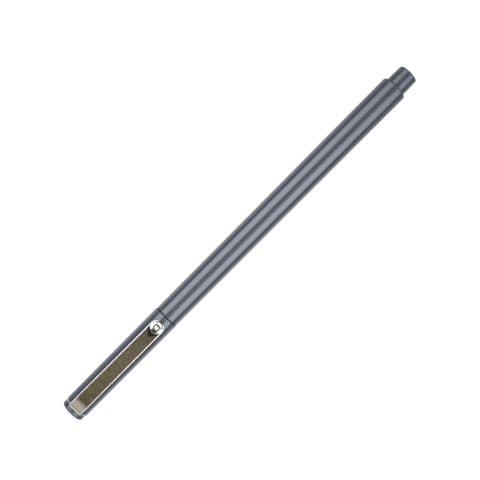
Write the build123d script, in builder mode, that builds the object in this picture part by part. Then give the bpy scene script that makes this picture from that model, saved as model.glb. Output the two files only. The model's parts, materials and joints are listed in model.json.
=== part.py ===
from build123d import *
import os
from math import asin, atan2, cos, degrees, hypot, radians, sin, tan

# A slim capped fineliner, modelled as the pieces that it comes apart into.
# The pen lies along X on the plane Z = 0, with its writing end towards +X and its clip upwards.
# Lengths are in millimetres and angles in degrees.

# Fits and gaps between the pieces
press_clearance = 0.01
cap_clearance = 0.05
post_clearance = 0.05
seal_clearance = 0.04
reservoir_clearance = 0.05
reservoir_end_gap = 0.2
seam_gap = 0.34
clip_gap = 0.5
clip_foot_gap = 0.08
clip_contact_gap = 0.05
clip_flex_gap = 0.03
nib_air_gap = 1.2
cut_overrun = 2.0

# Barrel: a moulded tube that widens towards the tail
barrel_length = 91.85
barrel_front_diameter = 7.48
barrel_rear_diameter = 7.95
barrel_wall = 0.75
barrel_shoulder_radius = 0.6
barrel_front_edge_radius = 0.06
barrel_rib_count = 6
barrel_rib_width = 0.5
barrel_rib_height = 0.3

# Tail plug: closes the barrel and carries the cap while the pen writes
tail_post_length = 5.6
tail_post_land = 2.3
tail_post_draft = 0.1
tail_edge_radius = 0.35
tail_end_wall = 1.2
plug_insert_length = 6.5
plug_stop_step = 0.15
plug_wall = 0.9
plug_draft = 0.03
plug_lead_in = 0.3
plug_gate_diameter = 1.6
plug_gate_depth = 0.15

# Section: the nib holder, pressed into the barrel's front and gripped by the cap
spigot_length = 7.0
spigot_wall = 1.0
spigot_core_length = 5.0
spigot_lead_in = 0.3
vent_count = 3
vent_width = 0.6
vent_depth = 0.35
seat_length = 9.5
seat_relief = 0.12
seat_bead_width = 1.6
seat_bead_shares = (0.22, 0.76)
grip_bulge = 0.12
nose_diameter = 4.4
nose_length = 4.0
nose_cone_length = 2.0
nose_edge_radius = 0.5
nose_tip_wall = 0.35

# Nib and the metal sleeve round it
nib_feed_diameter = 1.0
nib_feed_depth = 5.0
nib_rod_diameter = 0.6
nib_tip_diameter = 0.34
nib_tip_length = 0.6
sleeve_shank_length = 6.0
sleeve_shank_wall = 0.29
sleeve_cone_length = 0.5
sleeve_tip_length = 2.9
sleeve_tip_wall = 0.19
sleeve_edge_radius = 0.08

# Ink reservoir: a fibre core in a thin film
film_thickness = 0.1
film_overhang = 0.4

# Cap tube, widening towards its mouth
cap_tube_length = 36.03
cap_mouth_diameter = 7.71
cap_crown_diameter = 7.42
cap_wall = 0.67
cap_land_margin = 3.5
cap_bore_taper_length = 4.0
cap_mouth_edge_radius = 0.06
cap_mouth_lead_in = 0.25
cap_end_edge_radius = 0.1

# Crown: the plug that closes the cap and clamps the clip's washer
crown_diameter = 7.15
crown_height = 1.8
crown_edge_radius = 0.45
crown_dome = 0.12
crown_spigot_length = 3.5
crown_spigot_wall = 1.0
crown_core_depth = 2.5
crown_lead_in = 0.3

# Inner cap: the liner that seals round the section's nose
inner_cap_end_wall = 0.8
inner_cap_chamber_diameter = 3.5
inner_cap_setback = 0.5
inner_cap_lead_in = 0.3

# Clip: a spring stamping with turned-down edges, clamped by a washer at its root
clip_thickness = 0.38
clip_length = 34.88
clip_root_width = 4.53
clip_end_width = 4.26
clip_slope = 10.0
clip_bend_share = 0.6
clip_edge_radius = 0.28
clip_notch_depth = 0.15
clip_notch_reach = 3.5
clip_notch_arm_reach = 1.45
washer_inset = 0.02

# Button: the rivet at the clip's free end, a dish round a domed boss, with a foot on the cap
button_diameter = 3.7
button_height = 0.55
button_side_height = 0.26
button_rim_radius = 0.14
button_dish_slope = 14.0
button_dish_diameter = 2.1
button_groove_depth = 0.12
button_boss_diameter = 1.36
button_shank_diameter = 1.4
button_foot_diameter = 2.4

# Stations along the pen, from the tail to the crown
overall_length = (
    tail_post_length + barrel_length + seam_gap + cap_tube_length + clip_thickness + crown_height
)
tail_end_x = -overall_length / 2
barrel_rear_x = tail_end_x + tail_post_length
barrel_front_x = barrel_rear_x + barrel_length
cap_mouth_x = barrel_front_x + seam_gap
cap_end_x = cap_mouth_x + cap_tube_length
crown_seat_x = cap_end_x + clip_thickness
crown_end_x = crown_seat_x + crown_height
crown_spigot_x = cap_end_x - crown_spigot_length
plug_inner_x = barrel_rear_x + plug_insert_length
spigot_rear_x = barrel_front_x - spigot_length
nib_end_x = crown_spigot_x - inner_cap_end_wall - nib_air_gap
sleeve_end_x = nib_end_x - nib_tip_length
sleeve_tip_x = sleeve_end_x - sleeve_tip_length
section_end_x = sleeve_tip_x - sleeve_cone_length
sleeve_rear_x = section_end_x - sleeve_shank_length
nose_cone_x = section_end_x - nose_cone_length
nose_x = nose_cone_x - nose_length
seat_end_x = barrel_front_x + seat_length
reservoir_rear_x = plug_inner_x
reservoir_front_x = spigot_rear_x - reservoir_end_gap

# Radii about the pen's axis
barrel_front_radius = barrel_front_diameter / 2
barrel_rear_radius = barrel_rear_diameter / 2
section_seat_radius = barrel_front_radius - barrel_wall
plug_seat_radius = barrel_rear_radius - barrel_wall
plug_radius = plug_seat_radius - press_clearance
plug_core_radius = plug_radius - plug_wall
cap_mouth_radius = cap_mouth_diameter / 2
cap_crown_radius = cap_crown_diameter / 2
cap_bore_radius = cap_mouth_radius - cap_wall
cap_upper_bore_radius = cap_crown_radius - cap_wall
tail_post_radius = cap_bore_radius - post_clearance
spigot_radius = section_seat_radius - press_clearance
spigot_core_radius = spigot_radius - spigot_wall
seat_radius = cap_bore_radius - seat_relief
seat_bead_radius = cap_bore_radius - cap_clearance
nose_radius = nose_diameter / 2
nib_feed_radius = nib_feed_diameter / 2
nib_rod_radius = nib_rod_diameter / 2
nib_tip_radius = nib_tip_diameter / 2
sleeve_bore_radius = nib_feed_radius + press_clearance
sleeve_shank_radius = sleeve_bore_radius + sleeve_shank_wall
sleeve_tip_bore_radius = nib_rod_radius + press_clearance
sleeve_tip_radius = sleeve_tip_bore_radius + sleeve_tip_wall
section_bore_radius = sleeve_shank_radius + press_clearance
nose_tip_radius = section_bore_radius + nose_tip_wall
rib_inner_radius = section_seat_radius - barrel_rib_height
film_radius = rib_inner_radius - reservoir_clearance
reservoir_radius = film_radius - film_thickness
crown_radius = crown_diameter / 2
crown_spigot_radius = cap_upper_bore_radius - press_clearance
crown_core_radius = crown_spigot_radius - crown_spigot_wall
inner_cap_radius = cap_upper_bore_radius - press_clearance
inner_cap_seal_radius = nose_radius + seal_clearance
inner_cap_chamber_radius = inner_cap_chamber_diameter / 2
washer_radius = crown_radius - washer_inset
washer_bore_radius = crown_spigot_radius + press_clearance

# Heights: the pen rests on its widest ring, and the clip clears the cap's widest ring
axis_z = max(barrel_rear_radius, cap_mouth_radius)
cap_top_z = axis_z + max(cap_mouth_radius, cap_crown_radius)
clip_foot_z = cap_top_z + clip_foot_gap
clip_top_z = cap_top_z + clip_gap + clip_thickness
clip_depth = clip_top_z - clip_foot_z

# The clip's outline: straight sides that meet its round end tangentially
clip_end_radius = clip_end_width / 2
button_radius = button_diameter / 2
button_x = crown_seat_x - clip_length + clip_end_radius
clip_reach = crown_seat_x - button_x
clip_root_half = clip_root_width / 2
clip_taper = atan2(clip_root_half, clip_reach) - asin(clip_end_radius / hypot(clip_reach, clip_root_half))
clip_bend_radius = clip_depth * clip_bend_share
clip_slope_rise = 1 - cos(radians(clip_slope))
clip_ramp_radius = (clip_depth - clip_bend_radius * cos(radians(clip_slope))) / clip_slope_rise
clip_tab_width = clip_root_width - 2 * clip_edge_radius

pen_axis = Axis((0, 0, axis_z), (1, 0, 0))
profile_plane = Plane(origin=(0, 0, axis_z), x_dir=(1, 0, 0), z_dir=(0, -1, 0))


def station(x):
    """The plane across the pen at x, with its own x towards +Y and its own y upwards."""
    return Plane(origin=(x, 0, axis_z), x_dir=(0, 1, 0), z_dir=(1, 0, 0))


def turn(*outline, mode=Mode.ADD):
    """Turn a closed outline of (x, radius) corners about the pen's axis."""
    with BuildSketch(profile_plane) as profile:
        with BuildLine():
            Polyline(*outline, close=True)
        make_face()
    revolve(profile.sketch, axis=pen_axis, mode=mode)


def rings(piece):
    """A piece's whole circular edges, in groups from the tail to the crown."""
    circles = piece.edges().filter_by(GeomType.CIRCLE)
    return circles.filter_by(lambda edge: edge.is_closed).group_by(Axis.X)


def crowned(half_width, rise):
    """The radius and the angle of an arc that swells by rise from its rim to an apex on its axis."""
    return (half_width**2 + rise**2) / (2 * rise), degrees(2 * atan2(rise, half_width))


def widest(edges):
    """The widest of some circular edges."""
    return edges.sort_by(SortBy.RADIUS)[-1]


def clip_blank(inset):
    """The solid that lies inset below the clip's outer skin, run out below its foot."""
    floor_z = clip_foot_z - cut_overrun
    root_x = crown_seat_x - inset
    end_radius = clip_end_radius - inset
    root_half = clip_root_half - inset / cos(clip_taper) - inset * tan(clip_taper)
    tangent_x = button_x - end_radius * sin(clip_taper)
    tangent_y = end_radius * cos(clip_taper)
    with BuildPart() as blank:
        with BuildSketch(Plane.XY.offset(floor_z)):
            with BuildLine():
                Polyline(
                    (tangent_x, -tangent_y),
                    (root_x, -root_half),
                    (root_x, root_half),
                    (tangent_x, tangent_y),
                )
                ThreePointArc(
                    (tangent_x, tangent_y), (button_x - end_radius, 0), (tangent_x, -tangent_y)
                )
            make_face()
        extrude(amount=clip_top_z - inset - floor_z)
        with BuildSketch(Plane(origin=(0, 0, 0), x_dir=(1, 0, 0), z_dir=(0, -1, 0))):
            with BuildLine():
                bend = JernArc(
                    (root_x, clip_foot_z), (0, 1), clip_bend_radius - inset, 90 - clip_slope
                )
                ramp = JernArc(bend @ 1, bend % 1, clip_ramp_radius - inset, clip_slope)
                Polyline(
                    ramp @ 1,
                    (button_x - clip_end_width, clip_top_z - inset),
                    (button_x - clip_end_width, floor_z),
                    (root_x, floor_z),
                    bend @ 0,
                )
            make_face()
        extrude(amount=clip_root_width, both=True, mode=Mode.INTERSECT)
    return blank.part


with BuildPart() as barrel:
    turn(
        (barrel_front_x, section_seat_radius),
        (barrel_front_x, barrel_front_radius),
        (barrel_rear_x, barrel_rear_radius),
        (barrel_rear_x, plug_seat_radius),
        (plug_inner_x, plug_seat_radius),
        (plug_inner_x, plug_seat_radius - plug_stop_step),
        (spigot_rear_x, section_seat_radius),
    )
    fillet(widest(rings(barrel)[0]), barrel_shoulder_radius)
    fillet(widest(rings(barrel)[-1]), barrel_front_edge_radius)
    # Ribs along the bore hold the reservoir clear of the wall, so that air can pass
    with BuildSketch(station(plug_inner_x)):
        with PolarLocations((rib_inner_radius + plug_seat_radius) / 2, barrel_rib_count):
            Rectangle(plug_seat_radius - rib_inner_radius, barrel_rib_width)
    extrude(amount=spigot_rear_x - plug_inner_x)

with BuildPart() as tail_plug:
    turn(
        (plug_inner_x, plug_core_radius),
        (plug_inner_x, plug_radius - plug_draft),
        (barrel_rear_x, plug_radius),
        (barrel_rear_x, tail_post_radius),
        (barrel_rear_x - tail_post_land, tail_post_radius),
        (tail_end_x, tail_post_radius - tail_post_draft),
        (tail_end_x, 0),
        (tail_end_x + tail_end_wall, 0),
        (tail_end_x + tail_end_wall, plug_core_radius),
    )
    fillet(widest(rings(tail_plug)[0]), tail_edge_radius)
    chamfer(widest(rings(tail_plug)[-1]), plug_lead_in)
    # The moulding gate sits in a small dish in the end face
    turn(
        (tail_end_x, 0),
        (tail_end_x, plug_gate_diameter / 2),
        (tail_end_x + plug_gate_depth, plug_gate_diameter / 2 - plug_gate_depth),
        (tail_end_x + plug_gate_depth, 0),
        mode=Mode.SUBTRACT,
    )

with BuildPart() as section:
    bead_places = [barrel_front_x + seat_length * share for share in seat_bead_shares]
    bead_half = seat_bead_width / 2
    with BuildSketch(profile_plane):
        with BuildLine():
            Polyline(
                (spigot_rear_x, spigot_core_radius),
                (spigot_rear_x, spigot_radius),
                (barrel_front_x, spigot_radius),
                (barrel_front_x, seat_radius),
                (bead_places[0] - bead_half, seat_radius),
            )
            # Two low beads on the seat centre the cap and give it its grip
            for bead_x in bead_places:
                ThreePointArc(
                    (bead_x - bead_half, seat_radius),
                    (bead_x, seat_bead_radius),
                    (bead_x + bead_half, seat_radius),
                )
            Line((bead_places[0] + bead_half, seat_radius), (bead_places[1] - bead_half, seat_radius))
            Line((bead_places[1] + bead_half, seat_radius), (seat_end_x, seat_radius))
            ThreePointArc(
                (seat_end_x, seat_radius),
                ((seat_end_x + nose_x) / 2, (seat_radius + nose_radius) / 2 + grip_bulge),
                (nose_x, nose_radius),
            )
            Polyline(
                (nose_x, nose_radius),
                (nose_cone_x, nose_radius),
                (section_end_x, nose_tip_radius),
                (section_end_x, section_bore_radius),
                (sleeve_rear_x, section_bore_radius),
                (sleeve_rear_x, sleeve_bore_radius),
                (spigot_rear_x + spigot_core_length, sleeve_bore_radius),
                (spigot_rear_x + spigot_core_length, spigot_core_radius),
                (spigot_rear_x, spigot_core_radius),
            )
        make_face()
    revolve(axis=pen_axis)
    chamfer(widest(rings(section)[0]), spigot_lead_in)
    fillet(rings(section)[-2], nose_edge_radius)
    # Grooves along the spigot let air into the barrel as the ink is used
    with BuildSketch(station(spigot_rear_x)):
        with PolarLocations(spigot_radius, vent_count):
            Rectangle(2 * vent_depth, vent_width)
    extrude(amount=spigot_length, mode=Mode.SUBTRACT)

with BuildPart() as nib_sleeve:
    turn(
        (sleeve_rear_x, sleeve_bore_radius),
        (sleeve_rear_x, sleeve_shank_radius),
        (section_end_x, sleeve_shank_radius),
        (sleeve_tip_x, sleeve_tip_radius),
        (sleeve_end_x, sleeve_tip_radius),
        (sleeve_end_x, sleeve_tip_bore_radius),
        (section_end_x, sleeve_tip_bore_radius),
        (section_end_x, sleeve_bore_radius),
    )
    fillet(widest(rings(nib_sleeve)[-1]), sleeve_edge_radius)

with BuildPart() as nib:
    turn(
        (reservoir_front_x - nib_feed_depth, 0),
        (reservoir_front_x - nib_feed_depth, nib_feed_radius),
        (section_end_x, nib_feed_radius),
        (section_end_x, nib_rod_radius),
        (sleeve_end_x, nib_rod_radius),
        (nib_end_x, nib_tip_radius),
        (nib_end_x, 0),
    )
    fillet(widest(rings(nib)[-1]), nib_tip_radius / 2)

with BuildPart() as ink_reservoir:
    turn(
        (reservoir_rear_x + film_overhang, 0),
        (reservoir_rear_x + film_overhang, reservoir_radius),
        (reservoir_front_x - film_overhang, reservoir_radius),
        (reservoir_front_x - film_overhang, nib_feed_radius),
        (reservoir_front_x - nib_feed_depth, nib_feed_radius),
        (reservoir_front_x - nib_feed_depth, 0),
    )

with BuildPart() as reservoir_film:
    turn(
        (reservoir_rear_x, reservoir_radius),
        (reservoir_rear_x, film_radius),
        (reservoir_front_x, film_radius),
        (reservoir_front_x, reservoir_radius),
    )

with BuildPart() as cap_tube:
    cap_land_x = cap_mouth_x + seat_length + cap_land_margin
    turn(
        (cap_mouth_x, cap_bore_radius),
        (cap_mouth_x, cap_mouth_radius),
        (cap_end_x, cap_crown_radius),
        (cap_end_x, cap_upper_bore_radius),
        (cap_land_x + cap_bore_taper_length, cap_upper_bore_radius),
        (cap_land_x, cap_bore_radius),
    )
    chamfer(rings(cap_tube)[0].sort_by(SortBy.RADIUS)[0], cap_mouth_lead_in)
    fillet(widest(rings(cap_tube)[0]), cap_mouth_edge_radius)
    fillet(widest(rings(cap_tube)[-1]), cap_end_edge_radius)

with BuildPart() as cap_crown:
    with BuildSketch(profile_plane):
        with BuildLine():
            dome = JernArc((crown_end_x, 0), (0, 1), *crowned(crown_radius, crown_dome))
            Polyline(
                (crown_end_x, 0),
                (crown_spigot_x + crown_core_depth, 0),
                (crown_spigot_x + crown_core_depth, crown_core_radius),
                (crown_spigot_x, crown_core_radius),
                (crown_spigot_x, crown_spigot_radius),
                (crown_seat_x, crown_spigot_radius),
                (crown_seat_x, crown_radius),
                dome @ 1,
            )
        make_face()
    revolve(axis=pen_axis)
    chamfer(widest(rings(cap_crown)[0]), crown_lead_in)
    fillet(widest(rings(cap_crown)[-1]), crown_edge_radius)

with BuildPart() as inner_cap:
    turn(
        (nose_x + inner_cap_setback, inner_cap_seal_radius),
        (nose_x + inner_cap_setback, inner_cap_radius),
        (crown_spigot_x, inner_cap_radius),
        (crown_spigot_x, 0),
        (crown_spigot_x - inner_cap_end_wall, 0),
        (crown_spigot_x - inner_cap_end_wall, inner_cap_chamber_radius),
        (section_end_x, inner_cap_chamber_radius),
        (section_end_x, inner_cap_seal_radius),
    )
    chamfer(rings(inner_cap)[0].sort_by(SortBy.RADIUS)[0], inner_cap_lead_in)

# The washer and its tab: the flat root of the clip's stamping
with BuildPart() as clip_washer:
    tab_height = clip_foot_z - clip_flex_gap - axis_z
    with BuildSketch(station(cap_end_x)):
        Circle(washer_radius)
        with Locations((0, tab_height / 2)):
            Rectangle(clip_tab_width, tab_height)
        Circle(washer_bore_radius, mode=Mode.SUBTRACT)
    extrude(amount=clip_thickness)

# The spring arm: a bent channel, solid outside and hollowed by its own sheet's thickness
with BuildPart() as clip_arm:
    add(clip_blank(0))
    shoulder = clip_arm.edges().filter_by(Axis.Y, reverse=True).filter_by(Axis.Z, reverse=True)
    fillet(shoulder.filter_by_position(Axis.Z, clip_foot_z, clip_top_z), clip_edge_radius)
    add(clip_blank(clip_thickness), mode=Mode.SUBTRACT)
    split(bisect_by=Plane.XY.offset(clip_foot_z), keep=Keep.TOP)
    with Locations((button_x, 0, clip_top_z)):
        Hole(button_shank_diameter / 2 + press_clearance, depth=clip_depth)
    # The face is coined down in a notch that points to the root, with arms that run beside the button
    with BuildSketch(Plane.XY.offset(clip_top_z)):
        with BuildLine():
            Polyline(
                (button_x, 0),
                (button_x + clip_notch_arm_reach, clip_end_radius - clip_edge_radius),
                (button_x + clip_notch_reach, 0),
                (button_x + clip_notch_arm_reach, clip_edge_radius - clip_end_radius),
                close=True,
            )
        make_face()
    extrude(amount=-clip_notch_depth, mode=Mode.SUBTRACT)

with BuildPart() as clip_button:
    shank_radius = button_shank_diameter / 2
    cap_share = (button_x - cap_mouth_x) / cap_tube_length
    cap_radius_here = cap_mouth_radius + (cap_crown_radius - cap_mouth_radius) * cap_share
    foot_low = axis_z + cap_radius_here + clip_contact_gap - clip_top_z
    foot_radius, foot_angle = crowned(button_foot_diameter / 2, -clip_thickness - foot_low)
    # The dish slopes down from the rounded rim to a ring groove, which parts it from the boss
    dish_slope = radians(button_dish_slope)
    dish_radius = button_dish_diameter / 2
    dish_width = button_radius - button_rim_radius * (1 + sin(dish_slope)) - dish_radius
    dish_low = button_side_height + button_rim_radius * cos(dish_slope) - dish_width * tan(dish_slope)
    boss_half = button_boss_diameter / 2
    boss_radius, boss_angle = crowned(boss_half, button_height - dish_low)
    button_plane = Plane(origin=(button_x, 0, clip_top_z), x_dir=(1, 0, 0), z_dir=(0, -1, 0))
    button_axis = Axis((button_x, 0, clip_top_z), (0, 0, 1))
    with BuildSketch(button_plane):
        with BuildLine():
            foot = JernArc((0, foot_low), (1, 0), foot_radius, foot_angle)
            boss = JernArc((0, button_height), (1, 0), boss_radius, -boss_angle)
            Polyline(
                foot @ 1,
                (shank_radius, -clip_thickness),
                (shank_radius, 0),
                (button_radius, 0),
                (button_radius, button_side_height),
            )
            rim = JernArc(
                (button_radius, button_side_height), (0, 1), button_rim_radius, 90 + button_dish_slope
            )
            Line(rim @ 1, (dish_radius, dish_low))
            ThreePointArc(
                (dish_radius, dish_low),
                ((dish_radius + boss_half) / 2, dish_low - button_groove_depth),
                boss @ 1,
            )
            Line(boss @ 0, foot @ 0)
        make_face()
    revolve(axis=button_axis)

pieces = {
    "barrel": barrel,
    "tail_plug": tail_plug,
    "section": section,
    "nib_sleeve": nib_sleeve,
    "nib": nib,
    "ink_reservoir": ink_reservoir,
    "reservoir_film": reservoir_film,
    "cap_tube": cap_tube,
    "cap_crown": cap_crown,
    "inner_cap": inner_cap,
    "clip_washer": clip_washer,
    "clip_arm": clip_arm,
    "clip_button": clip_button,
}
os.makedirs("parts", exist_ok=True)
for name, piece in pieces.items():
    piece.part.label = name
    export_step(piece.part, f"parts/{name}.step")
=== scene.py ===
import json
from math import asin, atan2, cos, hypot, pi, radians, sin, tan

import bmesh
import bpy
from mathutils import Matrix, Vector


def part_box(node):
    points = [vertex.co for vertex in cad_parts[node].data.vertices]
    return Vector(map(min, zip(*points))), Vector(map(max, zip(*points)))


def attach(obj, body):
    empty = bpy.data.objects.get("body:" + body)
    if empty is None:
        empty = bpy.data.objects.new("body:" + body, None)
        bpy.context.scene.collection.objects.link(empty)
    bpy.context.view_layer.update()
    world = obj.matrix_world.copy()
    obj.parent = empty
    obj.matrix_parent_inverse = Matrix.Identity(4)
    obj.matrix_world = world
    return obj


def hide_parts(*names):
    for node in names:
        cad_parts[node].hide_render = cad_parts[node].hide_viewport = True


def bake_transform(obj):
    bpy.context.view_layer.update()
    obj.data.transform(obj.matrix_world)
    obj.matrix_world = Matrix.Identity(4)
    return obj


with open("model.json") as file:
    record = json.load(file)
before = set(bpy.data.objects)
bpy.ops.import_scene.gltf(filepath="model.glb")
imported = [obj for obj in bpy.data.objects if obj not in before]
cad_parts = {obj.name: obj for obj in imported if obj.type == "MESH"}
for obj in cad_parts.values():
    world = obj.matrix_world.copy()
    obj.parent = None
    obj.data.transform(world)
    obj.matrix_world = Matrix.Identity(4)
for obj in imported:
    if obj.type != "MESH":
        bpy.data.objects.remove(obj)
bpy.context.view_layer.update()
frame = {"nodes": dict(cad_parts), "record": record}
nodes = frame["nodes"]
colours = {entry["slot"]: entry["base_color"] for entry in frame["record"]["materials"]}

# Lengths are written in millimetres and turned into the scene's metres by MM
MM = 0.001

# The photograph's frame, and where the pen lies in it. The shifts are in pixels.
image_side = 480
focal_pixels = 887.1
sensor_width = 36.0
camera_near = 10 * MM
camera_far = 20000 * MM
camera_height = 253 * MM
camera_tilt = radians(2.2)
pen_turn = radians(134.88)
pen_shift_right = 0.26
pen_shift_down = 2.69

# Lights: two strip boxes beside the pen, and a panel and a low card past its crown. Each fills two angles,
# in degrees from the zenith. A strip fades towards its ends, and the panel towards its upper edge.
strip_angles = (21.5, 67.7)
strip_distance = 170 * MM
strip_length = 400 * MM
strip_full_reach = 40 * MM
strip_dark_reach = 200 * MM
strip_radiances = {"strip_left": 2.5, "strip_right": 2.65}
strip_colour = (0.95, 1.0, 1.06)
panel_angles = (16.5, 35)
panel_distance = 220 * MM
panel_length = 110 * MM
panel_fade_share = 0.34
panel_radiance = 1.6
panel_colour = (1.0, 1.0, 1.05)
card_angles = (50, 89)
card_distance = 300 * MM
card_length = 90 * MM
card_radiance = 1.8
card_colour = (1.0, 1.0, 1.0)

# Surroundings. A reach is a stretch of one axis of the direction that a ray goes in: Z for the ceiling's
# height and X for the rest. The ceiling is dark over the tail. The bright band, which the clip's face mirrors
# in the photograph's view, and the pale walls past the pen's ends show in reflections alone.
ceiling_height_reach = (0.7, 0.9)
ceiling_dark_colour = (0.03, 0.03, 0.03)
ceiling_colour = (0.2, 0.17, 0.117)
ceiling_lit_reach = (-0.35, 0.02)
ceiling_front_colour = (0.158, 0.132, 0.076)
band_start_reach = (0.138, 0.152)
band_blend_reach = (0.152, 0.24)
band_end_reach = (0.25, 0.265)
band_colours = ((1.076, 1.007, 0.852), (0.606, 0.531, 0.344))
wall_colour = (0.06, 0.06, 0.06)
wall_end_colour = (0.6, 0.57, 0.5)
wall_end_reach = (0.4, 0.6)

# Floor: the camera sees it shine white, more so far off, and reflections see a glow on both sides of the pen,
# given near it and far from it, which is weaker towards its ends
floor_side = 6000 * MM
floor_gap = 0.02 * MM
floor_shine = (0.9, 1.0)
floor_shine_reach = (110 * MM, 320 * MM)
floor_seen_albedo = 0.17
floor_lit_albedo = 0.35
floor_glow_left = (1.25, 0.4)
floor_glow_right = (1.15, 0.12)
floor_glow_reach = (16 * MM, 42 * MM)
floor_glow_middle = 8 * MM
floor_glow_end_share = 0.5
floor_glow_end_reach = (20 * MM, 80 * MM)

# Moulded plastic: how far its pigment drifts, its dull places and specks, its hairlines, and the rubbing
# along its edges. Here and below, a share is how much shows, and a change or spread is a share of a colour.
drift_width = 7 * MM
drift_spread = 0.05
dull_share = 0.3
dull_change = -0.4
speck_share = 0.5
speck_change = 0.5
hairline_length = 9 * MM
hairline_width = 0.1 * MM
hairline_share = 0.4
hairline_relief = 0.3
rubbed_reach = 0.12 * MM
rubbed_patch_width = 0.6 * MM
rubbed_roughness = 0.06
# Near-black painted shade laid in the clip's coined notch, standing in for the shade in that recess
notch_shade_colour = (0.01, 0.009, 0.007)

# The clip's plate: a dark tone of its slot's colour, a grain that ends at the ramp, and a painted highlight
# of bright metal on its sides and fold
nickel_tone_shares = (0.303, 0.286, 0.254)
nickel_tints = ((1.1, 0.99, 0.9), (0.93, 1.01, 1.05))
nickel_highlight_colour = (0.86, 0.85, 0.83)
nickel_mottle_width = 0.8 * MM
nickel_grain_width = 0.2 * MM
nickel_grain_depth = 0.002 * MM
nickel_line_length = 5 * MM
nickel_line_width = 0.09 * MM
nickel_line_share = 0.2
nickel_grain_start = 4 * MM
nickel_grain_end = 2.5 * MM
nickel_dull_change = -0.5
nickel_bright_change = 0.45
nickel_roughness = (0.12, 0.18)
nickel_edge_roughness = 0.17
nickel_fold_share = 0.8

# The button: its polishing rings and spots, where it is darker in its ring groove, and the painted shadow at
# its foot where it meets the clip, as shares of its radius
button_ring_width = 0.05 * MM
button_ring_depth = 0.0006 * MM
button_spot_width = 0.15 * MM
button_spot_spread = 0.05
button_roughness = (0.15, 0.21)
button_darkening_change = -0.9
groove_darkening = 0.95
foot_painted_shadow = 0.8
groove_share = 0.47
groove_darkening_shares = (0.07, 0.17)
foot_shadow_shares = (0.9, 0.96)

# The nib, its sleeve, and the reservoir in its film
steel_line_length = 3 * MM
steel_line_width = 0.05 * MM
steel_line_depth = 0.003 * MM
steel_spread = 0.1
steel_roughness = (0.2, 0.32)
ink_colour = (0.03, 0.035, 0.05)
ink_start = 0.45 * MM
ink_end = 0.1 * MM
ink_waver = 0.25 * MM
ink_patch_width = 0.4 * MM
ink_share = 0.9
ink_roughness = 0.3
nib_fibre_width = 0.03 * MM
wick_fibre_width = 0.08 * MM
fibre_slenderness = 40
fibre_share = 0.5
fibre_change = 0.8
fibre_roughness = (0.9, 0.7)
fibre_specular = 0.3
gathered_ink_width = 2 * MM
gathered_ink_spread = 0.25
wrinkle_length = 4 * MM
wrinkle_width = 0.5 * MM
wrinkle_depth = 0.05 * MM
film_cloud_width = 3 * MM
film_cloud_spread = 0.06
film_roughness = (0.15, 0.3)

# The clip's stamping: its bends and edges, and the coined notch beside the button
clip_slope = radians(10)
clip_bend_share = 0.6
clip_edge_radius = 0.28 * MM
clip_notch_depth = 0.15 * MM
clip_notch_reach = 3.5 * MM
clip_notch_arm_reach = 1.45 * MM
clip_tab_overlap = 0.09 * MM
clip_tab_inset = 0.01 * MM
washer_bore_share = 0.825
weld_reach = 0.0005 * MM
bend_steps = 12
ramp_steps = 10
side_step = 1.5 * MM
end_steps = 24
edge_steps = 8
face_steps = 10

# A thin ring in the section's material, put in the seam's gap as painted shade, which shows as a dark line at
# the seam
collar_radius = 3.6 * MM
collar_bore_radius = 3.0 * MM
collar_chamfer = 0.04 * MM
collar_rear_gap = 0.005 * MM
collar_front_gap = 0.04 * MM
ring_steps = 128
crease_angle = radians(30)

# Places and sizes of the solids that the new pieces follow
barrel_low, barrel_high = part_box("barrel")
arm_low, arm_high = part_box("clip_arm")
washer_low, washer_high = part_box("clip_washer")
button_low, button_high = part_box("clip_button")
axis_z = (barrel_low.z + barrel_high.z) / 2
button_x = (button_low.x + button_high.x) / 2
button_radius = (button_high.x - button_low.x) / 2
clip_end_radius = button_x - arm_low.x
clip_thickness = washer_high.x - washer_low.x
washer_radius = washer_high.y
washer_bore_radius = washer_radius * washer_bore_share
washer_axis_z = washer_low.z + washer_radius
notch_half = clip_end_radius - clip_edge_radius


class Nodes:
    """A new node tree, with short ways to add a node and to join two."""

    def __init__(self, tree):
        self.tree = tree
        tree.nodes.clear()

    def give(self, socket, value):
        """Join a socket to another one, or set it to plain numbers."""
        if isinstance(value, bpy.types.NodeSocket):
            self.tree.links.new(value, socket)
        else:
            socket.default_value = value

    def add(self, kind, settings=None, **values):
        """A node with its settings, and its inputs by their names, with _ for a space."""
        node = self.tree.nodes.new("ShaderNode" + kind)
        for name, value in (settings or {}).items():
            setattr(node, name, value)
        for name, value in values.items():
            self.give(node.inputs[name.replace("_", " ")], value)
        return node

    def join(self, node, *values):
        """Give a node's first inputs these values, each a socket or plain numbers."""
        for socket, value in zip(node.inputs, values):
            self.give(socket, value)
        return node

    def mix(self, factor, first, second):
        """The colour between two, each a socket or plain numbers, as a factor runs from 0 to 1."""
        node = self.add("Mix", {"data_type": "RGBA"}, Factor=factor)
        ends = [socket for socket in node.inputs if socket.type == "RGBA"]
        for socket, value in zip(ends, (first, second)):
            self.give(socket, value if isinstance(value, bpy.types.NodeSocket) else (*value[:3], 1.0))
        return next(socket for socket in node.outputs if socket.type == "RGBA")

    def math(self, operation, *values):
        """A sum of numbers."""
        return self.join(self.add("Math", {"operation": operation}), *values).outputs["Value"]

    def vector_math(self, operation, *values):
        """A sum of vectors, as its vector and its number."""
        return self.join(self.add("VectorMath", {"operation": operation}), *values).outputs

    def mix_shader(self, factor, first, second):
        """One shader that turns into another as a factor runs from 0 to 1."""
        return self.join(self.add("MixShader"), factor, first, second).outputs[0]

    def white(self, emission, albedo):
        """A white that shines a little and takes light and shadow for the rest."""
        glow = self.add("Emission", Strength=emission).outputs[0]
        lit = self.add("BsdfDiffuse", Color=(albedo, albedo, albedo, 1.0)).outputs[0]
        return self.join(self.add("AddShader"), glow, lit).outputs[0]


def new_material(name):
    """A new material, its node tree and the place of the surface in the pen's own frame."""
    made = bpy.data.materials.new(name)
    made.use_nodes = True
    tree = Nodes(made.node_tree)
    return made, tree, tree.add("TexCoord").outputs["Object"]


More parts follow.
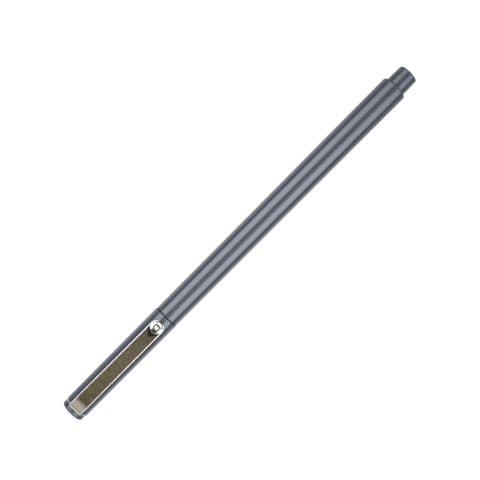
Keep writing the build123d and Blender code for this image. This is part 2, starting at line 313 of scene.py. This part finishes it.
def noise(tree, place, feature, detail=3.0, rough=0.55):
    """Noise whose blobs are about feature wide."""
    found = tree.add("TexNoise", Vector=place, Scale=1 / feature, Detail=detail, Roughness=rough)
    return found.outputs["Fac"]


def drawn_noise(tree, place, length, width):
    """Noise drawn out along the pen, as hairlines, grain or fibres of about this length and width."""
    drawn = tree.add("Mapping", Vector=place, Scale=(1 / length, 1 / width, 1 / width))
    return noise(tree, drawn.outputs["Vector"], 1.0, 2.0)


def between(tree, value, low, high, start=0.3, end=0.7):
    """A number that runs from low to high as value runs from start to end, which suit a noise."""
    ranged = tree.add("MapRange", Value=value, From_Min=start, From_Max=end, To_Min=low, To_Max=high)
    return ranged.outputs["Result"]


def shaded(colour, change):
    """A colour made lighter or darker by a share of itself."""
    return [channel * (1 + change) for channel in colour[:3]]


def tinted(colour, shares):
    """A colour whose channels are each multiplied by a share."""
    return [channel * share for channel, share in zip(colour, shares)]


def two_tone(tree, value, colour, spread):
    """A colour that varies by spread, up and down, as value runs through a noise's range."""
    return tree.mix(between(tree, value, 0.0, 1.0), shaded(colour, -spread), shaded(colour, spread))


def worn_edges(tree, place):
    """A patchy mask that rises to 1 along a piece's sharp edges."""
    rounded = tree.add("Bevel", {"samples": 6}, Radius=rubbed_reach).outputs["Normal"]
    here = tree.add("NewGeometry").outputs["Normal"]
    likeness = tree.vector_math("DOT_PRODUCT", rounded, here)["Value"]
    patches = between(tree, noise(tree, place, rubbed_patch_width), 0.1, 1.0, 0.4, 0.65)
    return tree.math("MULTIPLY", between(tree, likeness, 0.0, 1.0, 0.995, 0.9), patches)


def finish(tree, colour, roughness, height, depth, **fixed):
    """The surface of a material: its colour, roughness and relief, and values that are the same all over."""
    bump = tree.add("Bump", Distance=depth, Height=height).outputs["Normal"]
    surface = tree.add("BsdfPrincipled", Base_Color=colour, Roughness=roughness, Normal=bump, **fixed)
    tree.add("OutputMaterial", Surface=surface.outputs["BSDF"])


def moulded_plastic(name, colour, roughness, grain_width, grain_depth, specular, rub=0.2):
    """Moulded plastic: pigment that drifts, the mould's fine grain, hairlines and rubbed edges."""
    made, tree, place = new_material(name)
    drift = two_tone(tree, noise(tree, place, drift_width, 2.0), colour, drift_spread)
    grain = noise(tree, place, grain_width, 4.0)
    dull = tree.mix(between(tree, grain, dull_share, 0.0), drift, shaded(colour, dull_change))
    speck = tree.mix(between(tree, grain, 0.0, speck_share, 0.5), dull, shaded(colour, speck_change))
    lines = drawn_noise(tree, place, hairline_length, hairline_width)
    hairlines = between(tree, lines, 0.0, 1.0, 0.62, 0.72)
    faint_lines = tree.math("MULTIPLY", hairlines, between(tree, grain, 0.0, hairline_share))
    rubbed = tree.math("MAXIMUM", worn_edges(tree, place), faint_lines)
    finish(
        tree,
        tree.mix(rubbed, speck, shaded(colour, rub)),
        tree.math("ADD", between(tree, grain, *roughness), tree.math("MULTIPLY", rubbed, rubbed_roughness)),
        tree.math("SUBTRACT", grain, tree.math("MULTIPLY", hairlines, hairline_relief)),
        grain_depth,
        Specular_IOR_Level=specular,
    )
    return made


def satin_nickel(name, colour):
    """Toned nickel plate on the stamping: satin grain, polishing lines, a mottle, and a painted highlight of
    brighter metal on its sides and fold.
    """
    made, tree, _ = new_material(name)
    place = tree.add("Attribute", {"attribute_name": "rest_place"}).outputs["Vector"]
    tone = tinted(colour, nickel_tone_shares)
    warm, cool = (tinted(tone, shares) for shares in nickel_tints)
    mottle = noise(tree, place, nickel_mottle_width, 3.0, 0.7)
    grain = noise(tree, place, nickel_grain_width, 2.0, 0.7)
    lines = drawn_noise(tree, place, nickel_line_length, nickel_line_width)
    grain_part = tree.math("MULTIPLY", grain, 1 - nickel_line_share)
    texture = tree.math("ADD", grain_part, tree.math("MULTIPLY", lines, nickel_line_share))

    # The face, grained as far as the ramp
    mottled = tree.mix(between(tree, mottle, 0.0, 1.0, 0.35, 0.65), warm, cool)
    dark, light = shaded(tone, nickel_dull_change), shaded(tone, nickel_bright_change)
    dulled = tree.mix(between(tree, texture, 1.0, 0.0, 0.4, 0.5), mottled, dark)
    grained = tree.mix(between(tree, texture, 0.0, 1.0, 0.5, 0.6), dulled, light)
    along = tree.add("SeparateXYZ", Vector=place).outputs["X"]
    start, end = arm_high.x - nickel_grain_start, arm_high.x - nickel_grain_end
    satin = tree.mix(between(tree, along, 1.0, 0.0, start, end), tone, grained)

    # The turned-down sides and the fold, by which way they face, take a painted highlight in brighter metal
    facing = tree.add("SeparateXYZ", Vector=tree.add("NewGeometry").outputs["Normal"]).outputs
    sides = between(tree, tree.math("ABSOLUTE", facing["Y"]), 0.0, 1.0, 0.05, 0.3)
    fold = between(tree, facing["X"], 0.0, nickel_fold_share, 0.22, 0.45)
    edges = tree.math("MAXIMUM", sides, fold)
    rubbed = tree.math("MULTIPLY", edges, between(tree, mottle, 0.9, 1.0))
    on_edges = tree.math("MULTIPLY", edges, nickel_edge_roughness)
    finish(
        tree,
        tree.mix(rubbed, satin, nickel_highlight_colour),
        tree.math("ADD", between(tree, texture, *nickel_roughness), on_edges),
        tree.math("MULTIPLY", texture, tree.math("SUBTRACT", 1.0, edges)),
        nickel_grain_depth,
        Metallic=1.0,
    )
    return made


def polished_nickel(name, colour):
    """Bright nickel on the button: turned polishing rings, darker in the ring groove, and a painted shadow at
    the foot.
    """
    made, tree, place = new_material(name)
    from_centre = tree.vector_math("SUBTRACT", place, (button_x, 0.0, 0.0))["Vector"]
    level = tree.vector_math("MULTIPLY", from_centre, (1.0, 1.0, 0.0))["Vector"]
    radius = tree.vector_math("LENGTH", level)["Value"]
    rings = tree.add("TexNoise", {"noise_dimensions": "1D"}, W=radius, Scale=1 / button_ring_width)
    off_groove = tree.math("ABSOLUTE", tree.math("SUBTRACT", radius, groove_share * button_radius))
    groove_reach = (share * button_radius for share in groove_darkening_shares)
    foot_reach = (share * button_radius for share in foot_shadow_shares)
    # Darker in the ring groove, and a painted shadow at the foot where the button meets the clip
    in_groove = between(tree, off_groove, groove_darkening, 0.0, *groove_reach)
    at_foot = between(tree, radius, 0.0, foot_painted_shadow, *foot_reach)
    spots = noise(tree, place, button_spot_width)
    clean = two_tone(tree, spots, colour, button_spot_spread)
    finish(
        tree,
        tree.mix(tree.math("MAXIMUM", in_groove, at_foot), clean, shaded(colour, button_darkening_change)),
        between(tree, spots, *button_roughness),
        rings.outputs["Fac"],
        button_ring_depth,
        Metallic=1.0,
    )
    return made


def drawn_steel(name, colour):
    """Drawn tube: fine lines along it, and ink dried on its tip."""
    made, tree, place = new_material(name)
    tip_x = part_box("nib_sleeve")[1].x
    lines = drawn_noise(tree, place, steel_line_length, steel_line_width)
    along = tree.add("SeparateXYZ", Vector=place).outputs["X"]
    waver = between(tree, noise(tree, place, ink_patch_width), -ink_waver, ink_waver)
    wavering = tree.math("ADD", along, waver)
    inked = between(tree, wavering, 0.0, ink_share, tip_x - ink_start, tip_x - ink_end)
    finish(
        tree,
        tree.mix(inked, two_tone(tree, lines, colour, steel_spread), ink_colour),
        tree.math("ADD", between(tree, lines, *steel_roughness), tree.math("MULTIPLY", inked, ink_roughness)),
        lines,
        steel_line_depth,
        Metallic=1.0,
    )
    return made


def bundled_fibre(name, colour, width):
    """Fibres that lie along the pen, darker where the ink has gathered."""
    made, tree, place = new_material(name)
    fibres = drawn_noise(tree, place, fibre_slenderness * width, width)
    gathered = two_tone(tree, noise(tree, place, gathered_ink_width), colour, gathered_ink_spread)
    finish(
        tree,
        tree.mix(between(tree, fibres, 0.0, fibre_share), gathered, shaded(colour, fibre_change)),
        between(tree, fibres, *fibre_roughness),
        fibres,
        width / 2,
        Specular_IOR_Level=fibre_specular,
    )
    return made


def wrapped_film(name, colour):
    """Thin film shrunk round a core: fine wrinkles along it and uneven gloss."""
    made, tree, place = new_material(name)
    clouds = noise(tree, place, film_cloud_width)
    finish(
        tree,
        two_tone(tree, clouds, colour, film_cloud_spread),
        between(tree, clouds, *film_roughness),
        drawn_noise(tree, place, wrinkle_length, wrinkle_width),
        wrinkle_depth,
    )
    return made


slate = moulded_plastic(
    "slate_plastic",
    colours["slate_plastic"],
    roughness=(0.11, 0.21),
    grain_width=0.3 * MM,
    grain_depth=0.004 * MM,
    specular=0.95,
)
dark_grip = moulded_plastic(
    "section_plastic",
    colours["section_plastic"],
    roughness=(0.4, 0.52),
    grain_width=0.12 * MM,
    grain_depth=0.01 * MM,
    specular=0.15,
)
liner = moulded_plastic(
    "liner_plastic",
    colours["liner_plastic"],
    roughness=(0.35, 0.45),
    grain_width=0.5 * MM,
    grain_depth=0.01 * MM,
    specular=0.4,
    rub=0.1,
)
# The clip notch's material: near-black painted shade in that recess
painted_notch_shade = moulded_plastic(
    "notch_painted_shade",
    notch_shade_colour,
    roughness=(0.4, 0.55),
    grain_width=0.1 * MM,
    grain_depth=0.004 * MM,
    specular=0.12,
)
nickel = satin_nickel("clip_nickel", colours["clip_nickel"])
bright = polished_nickel("button_nickel", colours["button_nickel"])
steel = drawn_steel("sleeve_steel", colours["sleeve_steel"])
fibre = bundled_fibre("nib_fibre", colours["nib_fibre"], nib_fibre_width)
wick = bundled_fibre("reservoir_fibre", colours["reservoir_fibre"], wick_fibre_width)
film = wrapped_film("reservoir_film", colours["reservoir_film"])

finishes = {
    "barrel": slate,
    "tail_plug": slate,
    "cap_tube": slate,
    "cap_crown": slate,
    "section": dark_grip,
    "clip_arm": nickel,
    "clip_washer": nickel,
    "clip_button": bright,
    "nib_sleeve": steel,
    "nib": fibre,
    "ink_reservoir": wick,
    "reservoir_film": film,
    "inner_cap": liner,
}
for name, material in finishes.items():
    mesh = nodes[name].data
    mesh.materials.clear()
    mesh.materials.append(material)


def place_in_scene(name, data):
    """An object in the scene, from its mesh, light or camera."""
    made = bpy.data.objects.new(name, data)
    bpy.context.scene.collection.objects.link(made)
    return made


def new_object(name, built):
    """An object in the scene, from a bmesh whose faces are turned outwards."""
    bmesh.ops.recalc_face_normals(built, faces=built.faces)
    mesh = bpy.data.meshes.new(name)
    built.to_mesh(mesh)
    built.free()
    return place_in_scene(name, mesh)


def bridge(built, first, second):
    """Quads between two rows of points, with triangles where two points are one."""
    for a, b, c, d in zip(first, first[1:], second[1:], second):
        corners = []
        for vertex in (a, b, c, d):
            if vertex not in corners:
                corners.append(vertex)
        if len(corners) > 2:
            built.faces.new(corners)


def turned_ring(name, profile, ring_axis_z):
    """A ring about the pen's axis, from the corners of its section as (x, radius)."""
    built = bmesh.new()
    loops = []
    for step in range(ring_steps):
        turn = 2 * pi * step / ring_steps
        loop = []
        for x, radius in profile:
            loop.append(built.verts.new((x, radius * sin(turn), ring_axis_z + radius * cos(turn))))
        loops.append(loop)
    for first, second in zip(loops, loops[1:] + loops[:1]):
        bridge(built, first + first[:1], second + second[:1])
    return new_object(name, built)


def combine(target, tool, operation):
    """Cut or join a second closed shape into the first, and remove the second."""
    step = target.modifiers.new(operation, "BOOLEAN")
    step.operation = operation
    step.solver = "EXACT"
    step.object = tool
    depsgraph = bpy.context.evaluated_depsgraph_get()
    mesh = bpy.data.meshes.new_from_object(target.evaluated_get(depsgraph))
    target.modifiers.clear()
    target.data = mesh
    bpy.data.objects.remove(tool)


def smooth(piece):
    """Shade a piece smooth, but for its creases."""
    piece.data.shade_smooth()
    piece.data.set_sharp_from_angle(angle=crease_angle)


def clip_stations():
    """Where the clip's outer skin runs, root to free end: x, half width, z, skin's normal, side's normal."""
    root_x, root_half, top_z = arm_high
    depth = top_z - arm_low.z
    bend_radius = depth * clip_bend_share
    ramp_radius = (depth - bend_radius * cos(clip_slope)) / (1 - cos(clip_slope))
    reach = root_x - button_x
    taper = atan2(root_half, reach) - asin(clip_end_radius / hypot(reach, root_half))
    stations = []

    def add(x, z, lean):
        half = root_half - (root_x - x) * tan(taper)
        stations.append((x, half, z, Vector((sin(lean), 0, cos(lean))), Vector((sin(taper), cos(taper), 0))))

    for step in range(bend_steps):
        lean = pi / 2 + (clip_slope - pi / 2) * step / bend_steps
        add(root_x - bend_radius * (1 - sin(lean)), arm_low.z + bend_radius * cos(lean), lean)
    ramp_x = root_x - bend_radius * (1 - sin(clip_slope)) - ramp_radius * sin(clip_slope)
    for step in range(ramp_steps + 1):
        lean = clip_slope * (1 - step / ramp_steps)
        add(ramp_x + ramp_radius * sin(lean), top_z - ramp_radius * (1 - cos(lean)), lean)
    side_count = round((ramp_x - button_x) / side_step)
    for step in range(1, side_count):
        add(ramp_x + (button_x - ramp_x) * step / side_count, top_z, 0)
    for step in range(end_steps + 1):
        turn = (pi / 2 - taper) + (pi / 2 + taper) * step / end_steps
        side = Vector((cos(turn), sin(turn), 0))
        place = side * clip_end_radius
        stations.append((button_x + place.x, place.y, top_z, Vector((0, 0, 1)), side))
    return stations


def clip_skin(built, stations, inset, edge_radius):
    """One skin of the clip's channel, inset from its outer one, as rows of points across the clip."""
    rows = []
    for x, half, z, up, side in stations:
        column = []
        for step in range(edge_steps + 1):
            around = pi / 2 * step / edge_steps
            inwards = inset + edge_radius * (1 - cos(around))
            down = inset + edge_radius * (1 - sin(around))
            column.append(Vector((x, half, z)) - (side * inwards + up * down))
        foot = Vector((column[0].x, column[0].y, arm_low.z))
        across = [foot] + column
        inner = across[-1]
        for step in range(1, face_steps):
            share = 1 - 2 * step / face_steps
            across.append(Vector((inner.x, inner.y * share, inner.z)))
        across += [Vector((point.x, -point.y, point.z)) for point in reversed([foot] + column)]
        rows.append([built.verts.new(point) for point in across])
    for first, second in zip(rows, rows[1:]):
        bridge(built, first, second)
    return rows


def clip_channel():
    """The clip's arm: an outer and an inner skin, joined along their feet."""
    stations = clip_stations()
    built = bmesh.new()
    outer = clip_skin(built, stations, 0, clip_edge_radius)
    inner = clip_skin(built, stations, clip_thickness, 0)
    bridge(built, outer[0], inner[0])
    for edge in (0, -1):
        bridge(built, [row[edge] for row in outer], [row[edge] for row in inner])
    bmesh.ops.remove_doubles(built, verts=built.verts, dist=weld_reach)
    return new_object("clip_stamping", built)


def clip_washer_ring():
    """The washer, as a ring of square section."""
    profile = (
        (washer_low.x, washer_bore_radius),
        (washer_low.x, washer_radius),
        (washer_high.x, washer_radius),
        (washer_high.x, washer_bore_radius),
    )
    return turned_ring("washer", profile, washer_axis_z)


def clip_tab():
    """The tab, which stands up from the washer into the bend."""
    half = arm_high.y - clip_edge_radius
    foot_z = washer_axis_z + washer_bore_radius + clip_thickness
    low = Vector((washer_low.x + clip_tab_inset, -half, foot_z))
    high = Vector((washer_high.x - clip_tab_inset, half, arm_low.z + clip_tab_overlap))
    built = bmesh.new()
    bmesh.ops.create_cube(built, size=1)
    bmesh.ops.scale(built, vec=high - low, verts=built.verts)
    bmesh.ops.translate(built, vec=(low + high) / 2, verts=built.verts)
    return new_object("tab", built)


def clip_notch():
    """What is coined out of the clip's face: a notch that points to the root, with arms beside the button."""
    outline = (
        (button_x, 0),
        (button_x + clip_notch_arm_reach, notch_half),
        (button_x + clip_notch_reach, 0),
        (button_x + clip_notch_arm_reach, -notch_half),
    )
    built = bmesh.new()
    rows = []
    for z in (arm_high.z - clip_notch_depth, arm_high.z + clip_notch_depth):
        rows.append([built.verts.new((x, y, z)) for x, y in outline])
        built.faces.new(rows[-1])
    bridge(built, rows[0] + rows[0][:1], rows[1] + rows[1][:1])
    return new_object("notch", built)


def in_notch(face):
    """Whether a face of the stamping is the floor or a wall of its notch."""
    depth = arm_high.z - face.center.z
    reach = face.center.x - button_x
    at_depth = clip_notch_depth / 4 < depth < clip_notch_depth * 1.01
    by_button = -clip_end_radius / 2 < reach < clip_notch_reach * 1.01 and abs(face.center.y) < notch_half
    return at_depth and by_button and face.normal.z > -0.5


def make_clip():
    """The clip as one stamping: the washer, its tab, the bend and the channel, with its coined notch."""
    clip = clip_channel()
    washer = clip_washer_ring()
    combine(washer, clip_tab(), "UNION")
    combine(clip, washer, "UNION")
    combine(clip, clip_notch(), "DIFFERENCE")

    # The notch's floor and walls take the near-black painted shade
    clip.data.materials.clear()
    for material in (nickel, painted_notch_shade):
        clip.data.materials.append(material)
    for face in clip.data.polygons:
        face.material_index = int(in_notch(face))
    # Its finish is laid out by where each point is at rest, kept in an attribute
    rest_place = clip.data.attributes.new("rest_place", "FLOAT_VECTOR", "POINT")
    for point, vertex in zip(rest_place.data, clip.data.vertices):
        point.vector = vertex.co
    smooth(clip)

    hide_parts("clip_arm", "clip_washer")
    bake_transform(clip)


def make_seam_shade_ring():
    """A dark ring in the section's material, which sits against the barrel's mouth, just short of the cap's:
    painted shade in the seam.
    """
    rear_x = barrel_high.x + collar_rear_gap
    front_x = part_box("cap_tube")[0].x - collar_front_gap
    profile = (
        (rear_x, collar_bore_radius),
        (rear_x, collar_radius - collar_chamfer),
        (rear_x + collar_chamfer, collar_radius),
        (front_x - collar_chamfer, collar_radius),
        (front_x, collar_radius - collar_chamfer),
        (front_x, collar_bore_radius),
    )
    collar = turned_ring("seam_shade_ring", profile, axis_z)
    collar.data.materials.append(dark_grip)
    smooth(collar)
    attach(collar, "pen")


def white_paper():
    """The floor's white: it shines for the camera, glows near the pen in reflections, and takes a shadow."""
    made, tree, place = new_material("white_paper")
    along, across, _ = tree.add("SeparateXYZ", Vector=place).outputs
    near, far = floor_glow_reach
    left = between(tree, across, *floor_glow_left, -near, -far)
    right = between(tree, across, *floor_glow_right, near, far)
    off_middle = tree.math("ABSOLUTE", tree.math("SUBTRACT", along, floor_glow_middle))
    by_length = between(tree, off_middle, 1.0, floor_glow_end_share, *floor_glow_end_reach)
    strength = tree.math("MULTIPLY", by_length, tree.math("MINIMUM", left, right))
    glow = tree.add("Emission", Strength=strength).outputs[0]
    path = tree.add("LightPath").outputs
    mirrored = tree.math("MAXIMUM", path["Is Glossy Ray"], path["Is Transmission Ray"])
    unseen = tree.mix_shader(mirrored, tree.white(0.0, floor_lit_albedo), glow)
    far_off = tree.vector_math("LENGTH", place)["Value"]
    seen = tree.white(between(tree, far_off, *floor_shine, *floor_shine_reach), floor_seen_albedo)
    tree.add("OutputMaterial", Surface=tree.mix_shader(path["Is Camera Ray"], unseen, seen))
    return made


def make_floor():
    """A wide sheet of white paper, just under the pen."""
    mesh = bpy.data.meshes.new("floor")
    half = floor_side / 2
    corners = [(x * half, y * half, -floor_gap) for x, y in ((-1, -1), (1, -1), (1, 1), (-1, 1))]
    mesh.from_pydata(corners, [], [(0, 1, 2, 3)])
    mesh.materials.append(white_paper())
    floor = place_in_scene("floor", mesh)


def make_world():
    """White to the camera, and to other rays a dim warm ceiling and dim walls."""
    world = bpy.data.worlds.new("studio")
    bpy.context.scene.world = world
    world.use_nodes = True
    tree = Nodes(world.node_tree)
    along, _, up = tree.add("SeparateXYZ", Vector=tree.add("TexCoord").outputs["Generated"]).outputs
    path = tree.add("LightPath").outputs

    def past(axis, reach):
        return between(tree, axis, 0.0, 1.0, *reach)

    def in_reflections(factor):
        return tree.math("MULTIPLY", factor, path["Is Glossy Ray"])

    ceiling = tree.mix(past(along, ceiling_lit_reach), ceiling_dark_colour, ceiling_colour)
    band = tree.mix(past(along, band_blend_reach), *band_colours)
    ceiling = tree.mix(in_reflections(past(along, band_start_reach)), ceiling, band)
    ceiling = tree.mix(past(along, band_end_reach), ceiling, ceiling_front_colour)
    at_ends = past(tree.math("ABSOLUTE", along), wall_end_reach)
    walls = tree.mix(in_reflections(at_ends), wall_colour, wall_end_colour)
    around = tree.mix(past(up, ceiling_height_reach), walls, ceiling)
    unseen = tree.add("Background", Color=around, Strength=1.0).outputs[0]
    white = tree.add("Background", Color=(1.0, 1.0, 1.0, 1.0), Strength=1.0).outputs[0]
    tree.add("OutputWorld", Surface=tree.mix_shader(path["Is Camera Ray"], unseen, white))


# A flat light's watts, over its area and its radiance
energy_factor = 4


def area_light(name, target, side, angles, distance, length, radiance, colour):
    """A flat light that faces a target and fills two angles from the zenith, counted towards a side."""
    near, far = (radians(angle) for angle in angles)
    back = side * sin((near + far) / 2) + Vector((0, 0, cos((near + far) / 2)))
    along = side.cross(Vector((0, 0, 1)))
    lamp = bpy.data.lights.new(name, "AREA")
    lamp.shape = "RECTANGLE"
    lamp.size = length
    lamp.size_y = 2 * distance * tan((far - near) / 2)
    lamp.energy = energy_factor * lamp.size * lamp.size_y * radiance
    lamp.color = colour
    made = place_in_scene(name, lamp)
    turned = Matrix((along, back.cross(along), back)).transposed().to_4x4()
    made.matrix_world = Matrix.Translation(target + back * distance) @ turned
    made.visible_camera = False
    return lamp


def fade_light(lamp, full_x, full_reach, dark_reach):
    """Dim a light along X, from its full strength near one place to nothing at a reach from it."""
    lamp.use_nodes = True
    tree = Nodes(lamp.node_tree)
    place = tree.add("SeparateXYZ", Vector=tree.add("NewGeometry").outputs["Position"])
    reach = tree.math("ABSOLUTE", tree.math("SUBTRACT", place.outputs["X"], full_x))
    glow = tree.add("Emission", Strength=between(tree, reach, 1.0, 0.0, full_reach, dark_reach))
    tree.add("OutputLight", Surface=glow.outputs[0])


def make_lights(middle):
    """The strips beside the pen's middle, and the panel and the card past the clip's root."""
    for (name, radiance), side in zip(strip_radiances.items(), (-1, 1)):
        beside = Vector((0, side, 0))
        lamp = area_light(
            name, middle, beside, strip_angles, strip_distance, strip_length, radiance, strip_colour
        )
        fade_light(lamp, middle.x, strip_full_reach, strip_dark_reach)

    root = Vector((arm_high.x, 0, arm_high.z))
    crownwards = Vector((1, 0, 0))
    panel = area_light(
        "end_panel",
        root,
        crownwards,
        panel_angles,
        panel_distance,
        panel_length,
        panel_radiance,
        panel_colour,
    )
    panel_turn = radians(sum(panel_angles) / 2)
    panel_width = panel.size_y * cos(panel_turn)
    lower_edge_x = root.x + panel_distance * sin(panel_turn) + panel_width / 2
    fade_light(panel, lower_edge_x, panel_width * (1 - panel_fade_share), panel_width)
    area_light(
        "end_card", root, crownwards, card_angles, card_distance, card_length, card_radiance, card_colour
    )


def make_camera(middle):
    """A camera above the pen, tilted a little about its axis, with +X to the picture's lower left."""
    lens = bpy.data.cameras.new("camera")
    lens.sensor_width = sensor_width
    lens.lens = focal_pixels * sensor_width / image_side
    lens.clip_start = camera_near
    lens.clip_end = camera_far
    camera = place_in_scene("camera", lens)
    pixel = camera_height / focal_pixels
    camera.matrix_world = (
        Matrix.Translation(middle)
        @ Matrix.Rotation(camera_tilt, 4, "X")
        @ Matrix.Rotation(pen_turn, 4, "Z")
        @ Matrix.Translation((-pen_shift_right * pixel, pen_shift_down * pixel, camera_height))
    )
    bpy.context.scene.camera = camera


make_clip()
make_seam_shade_ring()
make_floor()
make_world()
pen_middle = Vector((0, 0, axis_z))
make_lights(pen_middle)
make_camera(pen_middle)
bpy.context.scene.view_settings.view_transform = "Standard"
